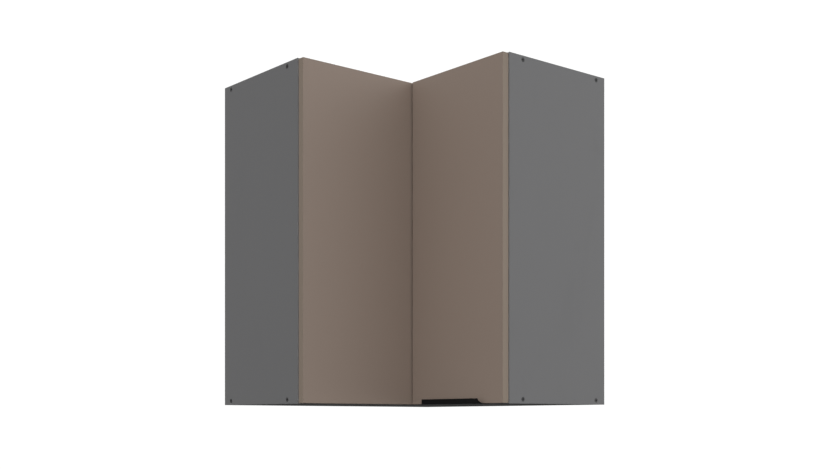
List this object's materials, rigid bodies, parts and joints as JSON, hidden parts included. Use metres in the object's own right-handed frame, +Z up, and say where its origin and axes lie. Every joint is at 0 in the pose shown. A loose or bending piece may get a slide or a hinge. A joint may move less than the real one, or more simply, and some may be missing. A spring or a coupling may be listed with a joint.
{
  "type": "corner wall cabinet",
  "caption": "L-shaped corner wall cabinet in grey board with a folding pair of taupe leaf doors, inner shelves and a black edge pull.",
  "frame": {"origin": "the room corner the cabinet hangs in, level with the underside of the carcass", "axes": "+Z up; +Y towards the back wall; +X towards the side wall, so the two fronts face -Y and -X"},
  "size_m": [0.6, 0.6, 0.716],
  "materials": {
    "carcass_board": "grey melamine-faced chipboard, fine matt grain, edge-banded",
    "door_board": "warm taupe matt laminated board, very fine texture",
    "hardboard": "thin grey-lacquered hardboard",
    "black_steel": "blackened steel screw heads",
    "black_aluminium": "black anodised, fine satin brushed along its length",
    "nickel_steel": "nickel-plated pressed steel",
    "hanger_plastic": "off-white moulded plastic",
    "clear_silicone": "translucent soft silicone"
  },
  "bodies": {
    "carcass": {"back_panel_left_arm": "hardboard", "back_panel_right_arm": "hardboard", "bottom_panel": "carcass_board", "confirmat_left_lower_front": "black_steel", "confirmat_left_lower_rear": "black_steel", "confirmat_left_upper_front": "black_steel", "confirmat_left_upper_rear": "black_steel", "confirmat_right_lower_front": "black_steel", "confirmat_right_lower_rear": "black_steel", "confirmat_right_upper_front": "black_steel", "confirmat_right_upper_rear": "black_steel", "corner_stile_back": "carcass_board", "corner_stile_side": "carcass_board", "hinge_arm_lower": "nickel_steel", "hinge_arm_pin_lower": "nickel_steel", "hinge_arm_pin_upper": "nickel_steel", "hinge_arm_upper": "nickel_steel", "hinge_plate_lower": "nickel_steel", "hinge_plate_upper": "nickel_steel", "shelf_corner_clip_lower": "nickel_steel", "shelf_corner_clip_upper": "nickel_steel", "shelf_lower": "carcass_board", "shelf_pin_lower_left_front": "nickel_steel", "shelf_pin_lower_left_rear": "nickel_steel", "shelf_pin_lower_right_front": "nickel_steel", "shelf_pin_lower_right_rear": "nickel_steel", "shelf_pin_upper_left_front": "nickel_steel", "shelf_pin_upper_left_rear": "nickel_steel", "shelf_pin_upper_right_front": "nickel_steel", "shelf_pin_upper_right_rear": "nickel_steel", "shelf_upper": "carcass_board", "side_panel_left": "carcass_board", "side_panel_right": "carcass_board", "top_panel": "carcass_board", "wall_hanger_hook_left": "nickel_steel", "wall_hanger_hook_right": "nickel_steel", "wall_hanger_housing_left": "hanger_plastic", "wall_hanger_housing_right": "hanger_plastic"},
    "door_left": {"door_leaf_left": "door_board", "fold_bracket_lower": "nickel_steel", "fold_bracket_upper": "nickel_steel", "fold_pin_lower": "nickel_steel", "fold_pin_upper": "nickel_steel", "hinge_cup_lower": "nickel_steel", "hinge_cup_pin_lower": "nickel_steel", "hinge_cup_pin_upper": "nickel_steel", "hinge_cup_upper": "nickel_steel"},
    "door_right": {"door_bumper_lower": "clear_silicone", "door_bumper_upper": "clear_silicone", "door_leaf_right": "door_board", "fold_cup_lower": "nickel_steel", "fold_cup_upper": "nickel_steel", "handle_profile": "black_aluminium", "handle_screw_inner": "black_steel", "handle_screw_outer": "black_steel"},
    "hinge_inner_links": {"hinge_link_inner_lower": "nickel_steel", "hinge_link_inner_upper": "nickel_steel"},
    "hinge_outer_links": {"hinge_link_outer_lower": "nickel_steel", "hinge_link_outer_upper": "nickel_steel"}
  },
  "joints": [
    {"name": "door_left_hinge", "type": "hinge", "parent": "carcass", "child": "door_left", "pos_m": [-0.598, -0.308, 0.358], "axis": [0, 0, -1], "range_deg": [0, 160]},
    {"name": "door_right_fold", "type": "hinge", "parent": "door_left", "child": "door_right", "pos_m": [-0.284, -0.3, 0.358], "axis": [0, 0, 1], "range_deg": [0, 60]},
    {"name": "hinge_inner_link_swing", "type": "hinge", "parent": "carcass", "child": "hinge_inner_links", "pos_m": [-0.5716, -0.2874, 0.358], "axis": [0, 0, -1], "range_deg": [0, 112]},
    {"name": "hinge_outer_link_swing", "type": "hinge", "parent": "door_left", "child": "hinge_outer_links", "pos_m": [-0.5738, -0.295, 0.358], "axis": [0, 0, 1], "range_deg": [0, 130]}
  ],
  "couplings": [
    {"joint": "door_right_fold", "follows": "door_left_hinge", "ratio": 0.375},
    {"joint": "hinge_inner_link_swing", "follows": "door_left_hinge", "ratio": 0.6959},
    {"joint": "hinge_outer_link_swing", "follows": "door_left_hinge", "ratio": 0.8059}
  ]
}
